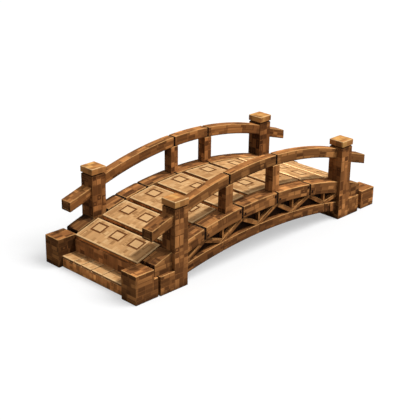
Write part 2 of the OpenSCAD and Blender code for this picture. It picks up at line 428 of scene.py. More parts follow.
def ramp(value, low, high):
    links = {"Value": value, "From Min": low, "From Max": high}
    return put(value.id_data, "MapRange", links, interpolation_type="SMOOTHSTEP").outputs[0]


def paint(r, g, b):
    """A colour as it should look, from 0 to 255, as the shader wants it."""
    def one(c):
        c /= 255
        return c / 12.92 if c <= 0.04045 else ((c + 0.055) / 1.055) ** 2.4

    return (one(r), one(g), one(b), 1)


def new_group(name, takes, gives):
    tree = bpy.data.node_groups.new(name, "ShaderNodeTree")
    for label, kind, value in takes:
        socket = tree.interface.new_socket(label, in_out="INPUT", socket_type=f"NodeSocket{kind}")
        if value is not None:
            socket.default_value = value
    for label in gives:
        tree.interface.new_socket(label, in_out="OUTPUT", socket_type="NodeSocketFloat")
    return tree, tree.nodes.new("NodeGroupInput").outputs, tree.nodes.new("NodeGroupOutput").inputs


def patchwork_group():
    """Tone patches in courses. Some are two courses high or two lengths long, each has its own margins,
    and some have an open middle."""
    long_share, high_share, margin, ring = 0.45, 0.35, 0.14, 0.26
    tree, takes, gives = new_group(
        "patchwork",
        (("Grain", "Vector", None), ("Share", "Float", 0.4), ("Rings", "Float", 0.15)),
        ("Tone", "Seam"),
    )
    along, across, number = put(tree, "SeparateXYZ", {0: takes["Grain"]}).outputs
    number = reckon("ROUND", number)
    band = reckon("FLOOR", times(across, 0.5))
    slide = chance(band, number, 7.0)[0]
    along = reckon("MULTIPLY_ADD", slide, 5.0, along)
    half_along = times(along, 0.5)
    half_across = times(across, 0.5)
    pair = reckon("FLOOR", half_along)
    merge = chance(pair, reckon("ADD", band, 31.0), number)
    wide = reckon("LESS_THAN", merge[0], long_share)
    tall = reckon("LESS_THAN", merge[1], high_share)
    key_x = blend(wide, reckon("FLOOR", along), reckon("ADD", pair, 400.0))
    key_y = blend(tall, reckon("FLOOR", across), reckon("ADD", band, 200.0))
    dice = chance(key_x, key_y, number)
    cut = chance(key_x, key_y, reckon("ADD", number, 0.5))

    def to_border(one, half, merged, low, high):
        """Distance inside the patch's own borders, in single patches."""
        x = blend(merged, reckon("FRACT", one), reckon("FRACT", half))
        size = reckon("ADD", merged, 1.0)
        left = reckon("MULTIPLY_ADD", low, -margin, times(x, size))
        right = times(reckon("SUBTRACT", 1.0, x), size)
        return reckon("MINIMUM", left, reckon("MULTIPLY_ADD", high, -margin, right))

    border = reckon(
        "MINIMUM",
        to_border(along, half_along, wide, cut[0], cut[1]),
        to_border(across, half_across, tall, cut[2], merge[2]),
    )
    patched = reckon("LESS_THAN", dice[0], takes["Share"])
    patched = times(patched, reckon("GREATER_THAN", border, 0.0))
    ringed = reckon("LESS_THAN", dice[2], takes["Rings"])
    middle = times(ringed, reckon("GREATER_THAN", border, ring))
    shown = times(patched, reckon("SUBTRACT", 1.0, middle))
    swing = reckon("MULTIPLY_ADD", dice[1], 2.0, -1.0)
    side = reckon("SIGN", swing)
    swing = reckon("MULTIPLY_ADD", side, 0.45, times(swing, 0.55))
    swing = blend(ringed, swing, -0.8)
    tree.links.new(times(swing, shown), gives["Tone"])
    line = reckon("SUBTRACT", 1.0, ramp(border, 0.0, 0.1))
    tree.links.new(times(line, shown), gives["Seam"])
    return tree


def streaks_group():
    """Fine streaks along the grain and a slow drift of tone."""
    tree, takes, gives = new_group("grain_streaks", (("Grain", "Vector", None),), ("Streak", "Drift"))
    along, across, number = put(tree, "SeparateXYZ", {0: takes["Grain"]}).outputs
    number = reckon("ROUND", number)

    def noise(a, b, c, detail):
        place = vector(times(along, a), times(across, b), times(number, c))
        return put(
            tree, "TexNoise", {"Vector": place, "Scale": 1.0, "Detail": detail, "Roughness": 0.6}
        ).outputs[0]

    tree.links.new(ramp(noise(0.32, 3.1, 3.7, 2.0), 0.28, 0.72), gives["Streak"])
    tree.links.new(ramp(noise(0.22, 0.9, 1.9, 1.0), 0.3, 0.7), gives["Drift"])
    return tree


def edges_group():
    """Painted highlight with wear on upper edges; painted shade on lower edges, in joints and under caps, with the
    dark marks of pegs and end grain; and a painted shade band along the foot of a side.
    """
    tree, takes, gives = new_group(
        "edge_highlight_and_shade",
        (("Grain", "Vector", None), ("Edge", "Float", 0.0), ("Band", "Float", 0.0)),
        ("WearAndHighlight", "ShadeAndDarkMarks"),
    )
    across, number = put(tree, "SeparateXYZ", {0: takes["Grain"]}).outputs[1:]
    axis = reckon("MODULO", reckon("ROUND", number), 8.0)
    axis = reckon("FLOOR", times(axis, 0.5))
    beside = reckon("COMPARE", axis, 1.0, 0.1)
    band = times(reckon("SUBTRACT", 1.0, ramp(across, 0.12, 0.42)), takes["Band"])
    band = times(band, beside)
    noise = put(tree, "TexNoise", {"Vector": takes["Grain"], "Scale": 1.7, "Detail": 2.0}).outputs[0]
    wear_and_highlight = reckon("MAXIMUM", takes["Edge"], 0.0)
    shade_and_dark_marks = reckon("MAXIMUM", times(takes["Edge"], -1.0), 0.0)
    tree.links.new(times(wear_and_highlight, ramp(noise, 0.2, 0.55)), gives["WearAndHighlight"])
    shade_and_dark_marks = times(shade_and_dark_marks, ramp(noise, 0.2, 0.6))
    tree.links.new(reckon("MAXIMUM", shade_and_dark_marks, band), gives["ShadeAndDarkMarks"])
    return tree


PATCHWORK = patchwork_group()
STREAKS = streaks_group()
EDGE_LIGHT_AND_SHADE = edges_group()


def use(tree, group, links):
    return put(tree, "Group", links, node_tree=group).outputs


def read_mark(tree, name, output="Fac"):
    return put(tree, "Attribute", None, attribute_name=name).outputs[output]


def blank_finish(name):
    finish = bpy.data.materials.new(name)
    finish.use_nodes = True
    tree = finish.node_tree
    shader = tree.nodes["Principled BSDF"]
    shader.inputs["Specular IOR Level"].default_value = 0.12
    return finish, tree, shader


def shade(colour, amount):
    """A lighter or darker tone of a wood colour. Lighter ones turn yellower, darker ones redder."""
    warm = (1, 1.08, 1.12) if amount > 1 else (1, 0.9, 0.86)
    return tuple(min(1, c * amount * w) for c, w in zip(colour, warm)) + (1,)


def wood_colour(tree, grain, base, share, rings, contrast, streaks=0.22, light=None, deep=None, drifts=0.3):
    """Colour of patched, streaked wood, with its height for the bump."""
    small = put(
        tree,
        "VectorMath",
        {0: grain, 1: (1.5, 1.0, 1.0), 2: (2.3, 3.0, 4096.0)},
        operation="MULTIPLY_ADD",
    ).outputs[0]
    tone, seam = use(tree, PATCHWORK, {"Grain": grain, "Share": share, "Rings": rings})
    fleck = use(tree, PATCHWORK, {"Grain": small, "Share": share * 0.6, "Rings": rings})["Tone"]
    free = reckon("SUBTRACT", 1.0, reckon("ABSOLUTE", reckon("SIGN", tone)))
    tone = reckon("MULTIPLY_ADD", times(fleck, free), 0.7, tone)
    streak, drift = use(tree, STREAKS, {"Grain": grain})
    lift = times(reckon("MAXIMUM", tone, 0.0), contrast)
    drop = times(reckon("MAXIMUM", times(tone, -1.0), 0.0), contrast)
    colour = tint(lift, base, light or shade(base, 2.1))
    colour = tint(drop, colour, deep or shade(base, 0.30))
    colour = tint(times(seam, 0.05 * contrast), colour, deep or shade(base, 0.30))
    value = reckon("MULTIPLY_ADD", streak, streaks, 1.0 - streaks * 0.5)
    value = times(value, reckon("MULTIPLY_ADD", drift, drifts, 1.0 - drifts * 0.5))
    colour = put(tree, "HueSaturation", {"Value": value, "Color": colour}).outputs[0]
    height = reckon("MULTIPLY_ADD", tone, 0.35, times(streak, 0.4))
    height = reckon("MULTIPLY_ADD", seam, -0.5, height)
    return colour, height, streak


def apply_painted_light(tree, colour):
    """Brings in each face's tone, which is painted light and shade, and dims the light that timbers throw on each
    other.
    """
    thrown = put(tree, "LightPath").outputs["Is Diffuse Ray"]
    amount = times(read_mark(tree, "tone"), reckon("MULTIPLY_ADD", thrown, -0.45, 1.0))
    return put(tree, "VectorMath", {0: colour, "Scale": amount}, operation="SCALE").outputs[0]


def bump(tree, shader, height, depth):
    normal = put(tree, "Bump", {"Height": height, "Strength": 0.5, "Distance": depth}).outputs[0]
    tree.links.new(normal, shader.inputs["Normal"])


def darken_near_ground(tree, colour, amount):
    """Darkens what stands near the ground."""
    place = put(tree, "TexCoord").outputs["Object"]
    height = put(tree, "SeparateXYZ", {0: place}).outputs[2]
    low = reckon("SUBTRACT", 1.0, ramp(height, 0.0, 0.085))
    return tint(times(low, amount), colour, paint(62, 34, 15))


def timber_finish(name, base, share, rings, contrast, highlight_amount=0.9, wear_and_light=paint(232, 174, 108), band=0.0):
    finish, tree, shader = blank_finish(name)
    grain = read_mark(tree, "grain", "Vector")
    colour, height, streak = wood_colour(tree, grain, base, share, rings, contrast)
    colour = darken_near_ground(tree, colour, 0.6)
    wear_and_highlight, shade_and_dark_marks = use(tree, EDGE_LIGHT_AND_SHADE, {"Grain": grain, "Edge": read_mark(tree, "edge"), "Band": band})
    # Painted highlight with wear on upper edges; then painted shade on lower edges, in joints, under caps and along
    # the foot of the sides, with dark marks.
    colour = tint(times(wear_and_highlight, highlight_amount), colour, wear_and_light)
    colour = tint(times(shade_and_dark_marks, 0.6), colour, paint(52, 27, 11))
    tree.links.new(apply_painted_light(tree, colour), shader.inputs["Base Color"])
    tree.links.new(reckon("MULTIPLY_ADD", streak, -0.18, 0.88), shader.inputs["Roughness"])
    bump(tree, shader, height, 0.004)
    return finish


def deck_finish(name):
    """Tan top over brown sides, with pale raised squares in dark grooves, a painted highlight on the rims and upper
    edges, and painted shade on lower edges and in the groove under the slab's edge.
    """
    finish, tree, shader = blank_finish(name)
    grain = read_mark(tree, "grain", "Vector")
    brown, height, _ = wood_colour(tree, grain, paint(168, 108, 58), 0.5, 0.08, 0.8)
    tan, tan_height, tan_streak = wood_colour(
        tree, grain, paint(215, 163, 107), 0.46, 0.1, 0.8, 0.04, paint(240, 194, 137), paint(164, 114, 67), 0.14
    )
    top = read_mark(tree, "top")
    square = read_mark(tree, "square")
    colour = tint(top, darken_near_ground(tree, brown, 0.4), tan)
    pad = reckon("MAXIMUM", square, 0.0)
    groove = reckon("MAXIMUM", times(square, -1.0), 0.0)
    colour = tint(times(pad, 0.75), colour, paint(238, 190, 132))
    wear_and_highlight, shade_and_dark_marks = use(tree, EDGE_LIGHT_AND_SHADE, {"Grain": grain, "Edge": read_mark(tree, "edge")})
    # The rim is a painted highlight along the slab's edges.
    wear_and_highlight = reckon("MAXIMUM", wear_and_highlight, read_mark(tree, "rim"))
    colour = tint(times(wear_and_highlight, 0.75), colour, paint(250, 208, 150))
    colour = tint(times(shade_and_dark_marks, 0.5), colour, paint(70, 38, 16))
    # Dark groove colour: the outline of the squares, and painted shade in the groove under the slab's edge.
    colour = tint(groove, colour, paint(128, 78, 38))
    tree.links.new(apply_painted_light(tree, colour), shader.inputs["Base Color"])
    tree.links.new(reckon("MULTIPLY_ADD", tan_streak, -0.15, 0.86), shader.inputs["Roughness"])
    bump(tree, shader, blend(top, height, tan_height), 0.003)
    return finish


POST_TIMBER = timber_finish("post_timber", paint(168, 108, 59), 0.66, 0.10, 0.9)
BLOCK_TIMBER = timber_finish("block_timber", paint(154, 99, 53), 0.68, 0.05, 0.8)
CAP_TIMBER = timber_finish("cap_timber", paint(206, 141, 79), 0.45, 0.0, 0.55, wear_and_light=paint(248, 204, 144))
# band: painted shade along the foot of the sides.
RAIL_TIMBER = timber_finish("rail_timber", paint(164, 107, 58), 0.42, 0.05, 0.85, band=1.25)
KERB_TIMBER = timber_finish("kerb_timber", paint(156, 101, 55), 0.48, 0.08, 0.95)
LOW_TIMBER = timber_finish("low_timber", paint(138, 87, 46), 0.45, 0.05, 0.85, band=1.0)
DARK_TIMBER = timber_finish("dark_timber", paint(178, 116, 66), 0.55, 0.03, 0.75)
# Near-black board timber: painted shade behind the web bars.
SHADE_BOARD_TIMBER = timber_finish("shade_board_timber", paint(46, 25, 11), 0.4, 0.0, 0.7, highlight_amount=0)
DECK_TIMBER = deck_finish("deck_timber")


# ---------------------------------------------------------------- posts and caps

# Painted light and shade: tone of the face towards the near end, and of the other faces.
POST_SHADING = {
    ("near", "right"): (0.76, 0.95),
    ("near", "left"): (0.72, 0.82),
    ("far", "right"): (0.8, 1.15),
    ("far", "left"): (0.34, 0.62),
}


def under_cap(face):
    """Painted shade in the groove under a cap and, less of it, just below the groove."""
    return 2 if face.center.z > CAP_Z - NECK_H - 0.001 else 0.8 if face.center.z > CAP_Z - NECK_SHADE else 0


def make_posts():
    post = baulk("post", (POST_IN, POST_SIDE, 0), (POST_OUT, POST_FACE, CAP_Z - NECK_H))
    ease(post, POST_EDGE)
    pick(post, "faces", lambda f: f.normal.z > 0.9 and centre_of(f).z > CAP_Z - NECK_H - 0.001)
    bpy.ops.mesh.inset(thickness=NECK_IN - POST_EDGE)
    bpy.ops.mesh.extrude_region_move(TRANSFORM_OT_translate={"value": (0, 0, NECK_H)})
    scribe(post, (0, 0, CAP_Z - NECK_SHADE), (0, 0, 1), lambda f: abs(f.normal.z) < 0.5)
    low = (POST_IN - CAP_LAP, POST_SIDE - CAP_LAP, CAP_Z)
    cap = baulk("cap", low, (POST_OUT + CAP_LAP, POST_FACE + CAP_LAP, CAP_TOP))
    ease(cap, CAP_CHAMFER, lambda e: all(v.co.z > CAP_TOP - 0.001 for v in e.verts))
    ease(cap, 0.004, lambda e: all(v.co.z < CAP_TOP - 0.001 for v in e.verts) or e.calc_face_angle(0) > 1.3)
    for end, x in ENDS:
        for side, y in SIDES:
            place = shift(0 if x > 0 else -POST_IN - POST_OUT, 0 if y > 0 else -POST_SIDE - POST_FACE)
            stem = copy_of(post, f"{end}_{side}_post", place)
            lay_grain(stem, straight(ALONG_Z), 0.066, 0.069, under_cap, near_and_rest(*POST_SHADING[end, side]))
            fit([stem], stem.name, [f"post_{end}_{side}"], POST_TIMBER)
            head = copy_of(cap, f"{end}_{side}_cap", place)
            lay_grain(head, straight(ALONG_X), 0.11, 0.07)
            fit([head], head.name, [f"cap_{end}_{side}"], CAP_TIMBER)
    discard(post, cap)


# ---------------------------------------------------------------- ends of the bridge

# Painted light and shade: tone of the top, of the outer faces and of the face towards the step.
BLOCK_SHADING = {
    ("near", "right"): (1.25, 1.08, 0.9),
    ("near", "left"): (0.95, 0.88, 0.45),
    ("far", "right"): (1.2, 1.5, 0.9),
    ("far", "left"): (1.2, 1.2, 0.9),
}


def square_to(a, b):
    """The upward direction square to a slab that runs from a to b."""
    return Vector((a.z - b.z, 0, b.x - a.x)).normalized()


def make_ends():
    near_block = baulk("near_block", (BLOCK_BACK, BLOCK_IN, 0), (BLOCK_FACE, BLOCK_OUT, ENTRY))
    scribe(near_block, (0, 0, SEAT), (0, 0, 1), lambda f: f.normal.x < -0.9)
    draw_out(
        near_block, lambda f: f.normal.x < -0.9 and centre_of(f).z < SEAT, (LEDGE_END - BLOCK_BACK, 0, 0)
    )
    ease(near_block, 0.008)
    far_block = baulk("far_block", (BLOCK_BACK, DECK_HALF, 0), (BLOCK_FACE, BLOCK_OUT, FAR_BLOCK_H))
    ease(far_block, 0.008)
    foot = baulk("foot", (POST_OUT, POST_SIDE, 0), (FOOT_END, POST_FACE, SEAT))
    ease(foot, 0.008, clear_of_post)
    feet = {"right": [], "left": []}
    for end, x in ENDS:
        for side, y in SIDES:
            place = Matrix.Diagonal((x, y, 1, 1))
            piece = copy_of(far_block if x > 0 else near_block, f"{end}_{side}_block", place)
            over, beside, inside = BLOCK_SHADING[end, side]
            lay_grain(
                piece,
                straight(ALONG_X),
                0.12,
                0.051,
                None,
                lambda f: over if f.normal.z > 0.5 else inside if f.normal.y * y < -0.5 else beside,
            )
            fit([piece], piece.name, [f"end_block_{end}_{side}"], BLOCK_TIMBER)
            piece = copy_of(foot, f"{end}_{side}_foot", place)
            lay_grain(piece, straight(ALONG_X), 0.08, 0.046)
            feet[side].append(piece)
    discard(near_block, far_block, foot)
    for side, pieces in feet.items():
        fit(pieces, f"{side}_feet", [f"feet_{side}"], BLOCK_TIMBER)

    sill = baulk("far_sill", (POST_IN, -POST_SIDE, 0), (POST_OUT, POST_SIDE, SEAT))
    ease(sill, 0.007)
    near_sill = copy_of(sill, "near_sill", ABOUT_FACE)
    for piece, end in ((sill, "far"), (near_sill, "near")):
        lay_grain(piece, straight(ALONG_Y), 0.085, 0.06)
        fit([piece], f"{end}_sill", [f"sill_{end}"], DARK_TIMBER)
    for end, x in ENDS:
        low, high = sorted((x * RISER_BACK, x * DECK_END))
        riser = baulk(f"{end}_riser", (low, -DECK_HALF, 0), (high, DECK_HALF, ENTRY))
        a, b = DECK_JOINTS[:2] if x < 0 else DECK_JOINTS[-2:]
        up = square_to(a, b)
        saw(riser, a - up * SLAB_T, up, "back")
        ease(riser, 0.005, lambda e: all(v.co.z < SEAT for v in e.verts))
        lay_grain(riser, straight(ALONG_Z), 0.085, 0.085, None, 1.1)
        fit([riser], riser.name, [f"riser_{end}"], DARK_TIMBER)


def make_steps():
    """A brown block under tan tread boards that stand a little proud of it, painted brown along the riser as shade,
    with a painted highlight on the front rim.
    """
    bed, wear_and_light = STEP_TOP - TREAD_T, DECK_END + 0.045
    base = baulk("step_base", (DECK_END, -DECK_HALF, 0), (STEP_FACE - TREAD_PLAY, DECK_HALF, bed))
    ease(base, 0.005)
    joints = (-DECK_HALF, -0.335, -0.195, -0.02, 0.165, DECK_HALF)
    boards = []
    for i, (y0, y1) in enumerate(zip(joints, joints[1:])):
        board = baulk(
            f"tread_{i}",
            (DECK_END, y0 + (TREAD_PLAY if i else 0), bed),
            (STEP_FACE, y1 - (TREAD_PLAY if i < 4 else 0), STEP_TOP),
        )
        ease(board, 0.006)
        for x in (wear_and_light + 0.012 * (i % 2), STEP_FACE - RIM):
            scribe(board, (x, 0, 0), (1, 0, 0), lambda f: f.normal.z > 0.9)
        boards.append(board)
    for end, place in (("far", Matrix.Identity(4)), ("near", ABOUT_FACE)):
        parts = []
        for source in (base, *boards):
            part = copy_of(source, f"{end}_{source.name}", place)
            tan = source is not base
            lay_grain(part, straight(ALONG_X if tan else ALONG_Z), 0.07, 0.06, None, 1.0 if tan else 2.75)
            # Near the riser the tread is painted mostly brown, as shade.
            mark(
                part,
                "top",
                lambda f: tan
                * (f.normal.z > 0.3 or f.center.z > STEP_TOP - LIP)
                * (1 if abs(f.center.x) > wear_and_light else 0.3),
            )
            mark(part, "square", lambda f: 0)
            # The front rim is a painted highlight.
            mark(part, "rim", lambda f: tan and f.normal.z > 0.9 and abs(f.center.x) > STEP_FACE - RIM)
            parts.append(part)
        fit(parts, f"{end}_step", [f"step_{end}"], DECK_TIMBER)
    discard(base, *boards)


# ---------------------------------------------------------------- sides

# Painted light and shade: tones of the top and of the sides, for each length from the near end on.
KERB_SHADING = {
    "right": ((0.92, 1.15), (0.94, 1.15), (0.92, 1.14), (1.38, 1.1), (1.35, 1.2)),
    "left": ((0.92, 1.0), (1.2, 1.0), (0.8, 1.0), (1.1, 1.0), (1.2, 1.0)),
}
# Painted light and shade of the rails: tones of the top and of the sides, for each length.
RAIL_SHADING = {"right": ((1.05, 0.93), (1.4, 0.72), (1.24, 0.93)), "left": ((1.02, 0.95), (1.12, 0.9), (1.12, 0.9))}
# Painted light and shade: tone of the face towards the near end, and of the other faces.
BALUSTER_SHADING = {"right": ((0.84, 0.84), (0.95, 1.4)), "left": ((0.55, 1.0), (0.95, 1.0))}
# Where the pegs sit beside a kerb joint: along the kerb, and below its top.
PEG_SPOTS = ((-0.042, -0.045), (0.046, -0.105))


def spans(joints, gap):
    """Where each length of a member starts and stops, from post to post."""
    cuts = (-POST_IN - gap / 2, *joints, POST_IN + gap / 2)
    return [(x0 + gap / 2, x1 - gap / 2) for x0, x1 in zip(cuts, cuts[1:])]


def tongue_in(arch, low, high, x0, x1):
    """A tongue that closes a joint, a little inside the timbers that it joins."""
    tongue = bent_timber("tongue", arch.set_in(TONGUE_IN), low + TONGUE_IN, high - TONGUE_IN, x0, x1)
    ease(tongue, 0.002)
    return tongue


def make_kerbs():
    end_length = baulk("kerb_end", (POST_OUT, KERB_IN, SEAT), (BLOCK_BACK - END_GAP, KERB_OUT, 0.6))
    for x in (POST_OUT + 0.09, POST_OUT + 0.18):
        scribe(end_length, (x, 0, 0), (1, 0, 0), lambda f: f.normal.z > 0.9 or abs(f.normal.y) > 0.9)
    open_up(end_length)
    mesh = bmesh.from_edit_mesh(end_length.data)
    for v in mesh.verts:
        if v.co.z > SEAT + 0.01:
            v.co.z = KERB.top(v.co.x).z
    bmesh.update_edit_mesh(end_length.data)
    ease(end_length, 0.009)
    peg = baulk("peg", (-0.017, -0.012, -0.021), (0.017, 0.002, 0.021))
    ease(peg, 0.003)
    for side, y in SIDES:
        lengths = []
        low, high = sorted((y * KERB_IN, y * KERB_OUT))
        for i, (x0, x1) in enumerate(spans(KERB_JOINTS[side], KERB_GAP)):
            piece = bent_timber(f"{side}_kerb_{i}", KERB, low, high, x0, x1)
            ease(piece, 0.009)
            lay_grain(piece, round_an(KERB), 0.13, 0.05, shaded_joint_ends, top_and_sides(*KERB_SHADING[side][i]))
            lengths.append(piece)
        for joint in KERB_JOINTS[side]:
            tongue = tongue_in(KERB, low, high, joint - TONGUE_REACH, joint + TONGUE_REACH)
            # The tongue is dark all over and dimmed: painted shade inside the joint.
            lay_grain(tongue, round_an(KERB), 0.13, 0.05, all_dark, 0.5)
            lengths.append(tongue)
            for dx, dz in PEG_SPOTS:
                spot = KERB.top(joint + dx)
                lean = Matrix.Rotation(math.atan2(spot.x, spot.z - KERB.centre.z), 4, "Y")
                home = shift(spot.x, y * KERB_OUT, spot.z + dz) @ lean @ Matrix.Diagonal((1, y, 1, 1))
                piece = copy_of(peg, f"{side}_peg", home)
                lay_grain(piece, straight(ALONG_X), 0.1, 0.05, all_dark)
                lengths.append(piece)
        for end, x in ENDS:
            piece = copy_of(end_length, f"{end}_{side}_kerb_end", Matrix.Diagonal((x, y, 1, 1)))
            # Painted shadow on the kerb end: darker beside the post, darkest on the near left one, and painted shade
            # on its end faces in the gap by the block.
            by_post, by_block = (0.24, 0.5) if x < 0 < y else (0.7, 0.82)
            lay_grain(
                piece, straight(ALONG_X), 0.11, 0.05, lambda f: 2 if abs(f.normal.x) > 0.4 else 0,
                lambda f: by_post if abs(f.center.x) < POST_OUT + 0.1 and f.normal.z > 0.5 else by_block,
            )
            lengths.append(piece)
        fit(lengths, f"{side}_kerb_lengths", [f"kerb_{side}"], KERB_TIMBER)
    discard(end_length, peg)


def make_chords():
    lengths = []
    for i, (x0, x1) in enumerate(spans(WEB_FEET[1:], CHORD_GAP)):
        piece = bent_timber(f"right_chord_{i}", CHORD, -KERB_OUT, -CHORD_IN, x0, x1)
        ease(piece, 0.006)
        lengths.append(piece)
    for side, y in SIDES:
        parts = []
        for piece in lengths:
            part = copy_of(piece, f"{side}_{piece.name}", shift(0, 0 if y < 0 else KERB_OUT + CHORD_IN))
            lay_grain(part, round_an(CHORD), 0.11, 0.040)
            parts.append(part)
        fit(parts, f"{side}_chord_lengths", [f"chord_{side}"], LOW_TIMBER)
    discard(*lengths)


def web_bar(name, foot, head, width, set_back=0.0):
    """A straight bar from the chord to the kerb, its ends cut to lie on both and clear of the posts."""
    spare = 0.06
    way = head - foot
    home = Matrix.Translation(foot) @ Matrix.Rotation(-math.atan2(way.z, way.x), 4, "Y")
    low = (-spare, set_back - WEB_FRONT, -width / 2)
    bar = baulk(name, low, (way.length + spare, -WEB_BACK, width / 2))
    bar.matrix_world = home
    settle(bar)
    saw(bar, foot, CHORD.out(foot), "front")
    saw(bar, head, KERB.out(head), "back")
    ease(bar, 0.004)
    saw(bar, (-POST_IN, 0, 0), (1, 0, 0), "front")
    saw(bar, (POST_IN, 0, 0), (1, 0, 0), "back")
    return bar, home


def make_webs():
    feet = [CHORD.top(x) for x in WEB_FEET]
    heads = [KERB.under(x) for x in WEB_APEXES]
    bars = []
    for i, foot in enumerate(feet):
        bars.append(web_bar(f"rising_{i}", foot, heads[i], DIAGONAL_W))
        if i + 1 < len(feet):
            bars.append(web_bar(f"falling_{i}", feet[i + 1], heads[i], DIAGONAL_W, 0.002))
        bars.append(web_bar(f"upright_{i}", foot, KERB.under(foot.x), UPRIGHT_W, 0.004))
    opening = Arch(KERB.crown - KERB.depth, KERB.under(POST_IN).z, POST_IN, 0.34)
    # A near-black board behind the web bars: painted shade for the inside of the bridge.
    board = bent_timber("web_board", opening, -WEB_BACK, -BOARD_BACK, -POST_IN, POST_IN)
    open_up(board)
    mesh = bmesh.from_edit_mesh(board.data)
    for v in mesh.verts:
        low, high = CHORD.top(v.co.x).z, KERB.under(v.co.x).z
        v.co.z = low if v.co.z < (low + high) / 2 else high
    bmesh.update_edit_mesh(board.data)
    face_outward(board)
    ease(board, 0.003)
    for side, y in SIDES:
        turn = Matrix.Identity(4) if y < 0 else OTHER_SIDE
        parts = []
        for bar, home in bars:
            part = copy_of(bar, f"{side}_{bar.name}", turn)
            lay_grain(part, straight(ALONG_X, home), 0.10, 0.028)
            parts.append(part)
        fit(parts, f"{side}_web_bars", [f"web_{side}"], RAIL_TIMBER)
        back = copy_of(board, f"{side}_web_board", turn)
        lay_grain(back, straight(ALONG_Z), 0.2, 0.09)
        fit([back], back.name, [f"web_{side}"], SHADE_BOARD_TIMBER)
    discard(*(bar for bar, home in bars), board)


def make_rails():
    for side, y in SIDES:
        low, high = sorted((y * RAIL_IN, y * RAIL_OUT))
        for i, (x0, x1) in enumerate(spans(BALUSTERS[side], RAIL_GAP)):
            piece = bent_timber(f"{side}_rail_length_{i + 1}", RAIL, low, high, x0, x1)
            ease(piece, 0.007)
            lay_grain(piece, round_an(RAIL), 0.15, 0.042, shaded_joint_ends, top_and_sides(*RAIL_SHADING[side][i]))
            parts = [piece]
            for joint in BALUSTERS[side][i:i + 1]:
                tongue = tongue_in(RAIL, low, high, joint - TONGUE_REACH, joint + 0.012)
                # The tongue is dark all over and dimmed: painted shade inside the joint.
                lay_grain(tongue, round_an(RAIL), 0.15, 0.042, all_dark, 0.5)
                parts.append(tongue)
            fit(parts, piece.name, [f"rail_{side}_{i + 1}"], RAIL_TIMBER)
        stubs = []
        middle = y * (STUB_IN + STUB_OUT) / 2

        def framed(face):
            """Darker end grain, darker still round its border."""
            if abs(face.normal.x) < 0.85 or abs(face.center.x) < POST_OUT + 0.1:
                return 0
            return 1.2 if abs(face.center.y - middle) > 0.05 else 0.5

        for end, x in ENDS:
            top = STUB_TOPS[f"{end}_{side}"]
            stub = baulk("stub", (POST_OUT, STUB_IN, top - STUB_DEPTH), (STUB_END, STUB_OUT, top))
            pick(stub, "faces", lambda f: f.normal.x > 0.9)
            bpy.ops.transform.translate(value=(0, 0, -STUB_FALL))
            ease(stub, 0.008, clear_of_post)
            pick(stub, "faces", lambda f: f.normal.x > 0.9)
            bpy.ops.mesh.inset(thickness=0.026, depth=-0.003)
            place = Matrix.Diagonal((x, y, 1, 1))
            piece = copy_of(stub, f"{end}_{side}_stub", place)
            lean = Matrix.Rotation(math.atan2(STUB_FALL, STUB_END - POST_OUT), 4, "Y")
            home = place @ shift(POST_OUT, 0, top) @ lean
            lay_grain(piece, straight(ALONG_X, home), 0.09, 0.042, framed, 0.88)
            discard(stub)
            stubs.append(piece)
        fit(stubs, f"{side}_stubs", [f"stubs_{side}"], RAIL_TIMBER)
        posts = []
        half, line = BALUSTER_W / 2, (low + high) / 2
        for x, tones in zip(BALUSTERS[side], BALUSTER_SHADING[side]):
            piece = baulk(f"{side}_baluster", (x - half, line - half, 0.4), (x + half, line + half, 1.2))
            saw(piece, KERB.top(x), KERB.out(KERB.top(x)), "front")
            saw(piece, RAIL.under(x), RAIL.out(RAIL.under(x)), "back")
            ease(piece, 0.006)
            lay_grain(piece, straight(ALONG_Z), 0.066, 0.062, None, near_and_rest(*tones))
            posts.append(piece)
        fit(posts, f"{side}_balusters", [f"balusters_{side}"], POST_TIMBER)


# ---------------------------------------------------------------- deck

SQUARES_Y = (-0.275, 0.045, 0.365)
SQUARE_SLIDES = (0, -0.030, 0, 0.035, 0.030, 0.020, 0, 0)
SQUARE_X, SQUARE_Y = 0.078, 0.092


def make_slab(length, squares_x, slide):
    """A slab lying flat: tan top with a shadow groove under its edge and three raised squares in dark grooves."""
    groove_w, groove_d, rise = 0.025, 0.004, 0.001
    slab = baulk("slab", (0, -DECK_HALF, -SLAB_T), (length, DECK_HALF, 0))
    for z in (-LIP, -LIP_FOOT):
        scribe(slab, (0, 0, z), (0, 0, 1), lambda f: abs(f.normal.z) < 0.5)
    pick(slab, "faces", lambda f: abs(f.normal.z) < 0.5 and -LIP_FOOT < centre_of(f).z < -LIP)
    bpy.ops.mesh.extrude_region_shrink_fatten(TRANSFORM_OT_shrink_fatten={"value": -0.006})
    ease(slab, 0.007, lambda e: all(v.co.z > -0.001 or v.co.z < 0.001 - SLAB_T for v in e.verts))

    def on_top(face):
        return face.normal.z > 0.9 and centre_of(face).z > -0.002

    for x in (RIM, squares_x - SQUARE_X, squares_x + SQUARE_X, length - RIM):
        scribe(slab, (x, 0, 0), (1, 0, 0), on_top)
    for y in (RIM - DECK_HALF, DECK_HALF - RIM):
        scribe(slab, (0, y, 0), (0, 1, 0), on_top)
    for y in SQUARES_Y:
        for edge in (y + slide - SQUARE_Y, y + slide + SQUARE_Y):
            scribe(slab, (0, edge, 0), (0, 1, 0), on_top)

    def in_square(face):
        return on_top(face) and within_squares(centre_of(face), squares_x, slide)

    pick(slab, "faces", in_square)
    bpy.ops.mesh.inset(thickness=groove_w, use_individual=True)
    mesh = bmesh.from_edit_mesh(slab.data)
    pads = [centre_of(f) for f in mesh.faces if f.select]

    def is_pad(face):
        return any((centre_of(face) - p).length < 0.002 for p in pads)

    draw_out(slab, lambda f: in_square(f) and not is_pad(f), (0, 0, -groove_d))
    pick(slab, "faces", is_pad)
    bpy.ops.transform.translate(value=(0, 0, rise))
    clear_bench()
    return slab


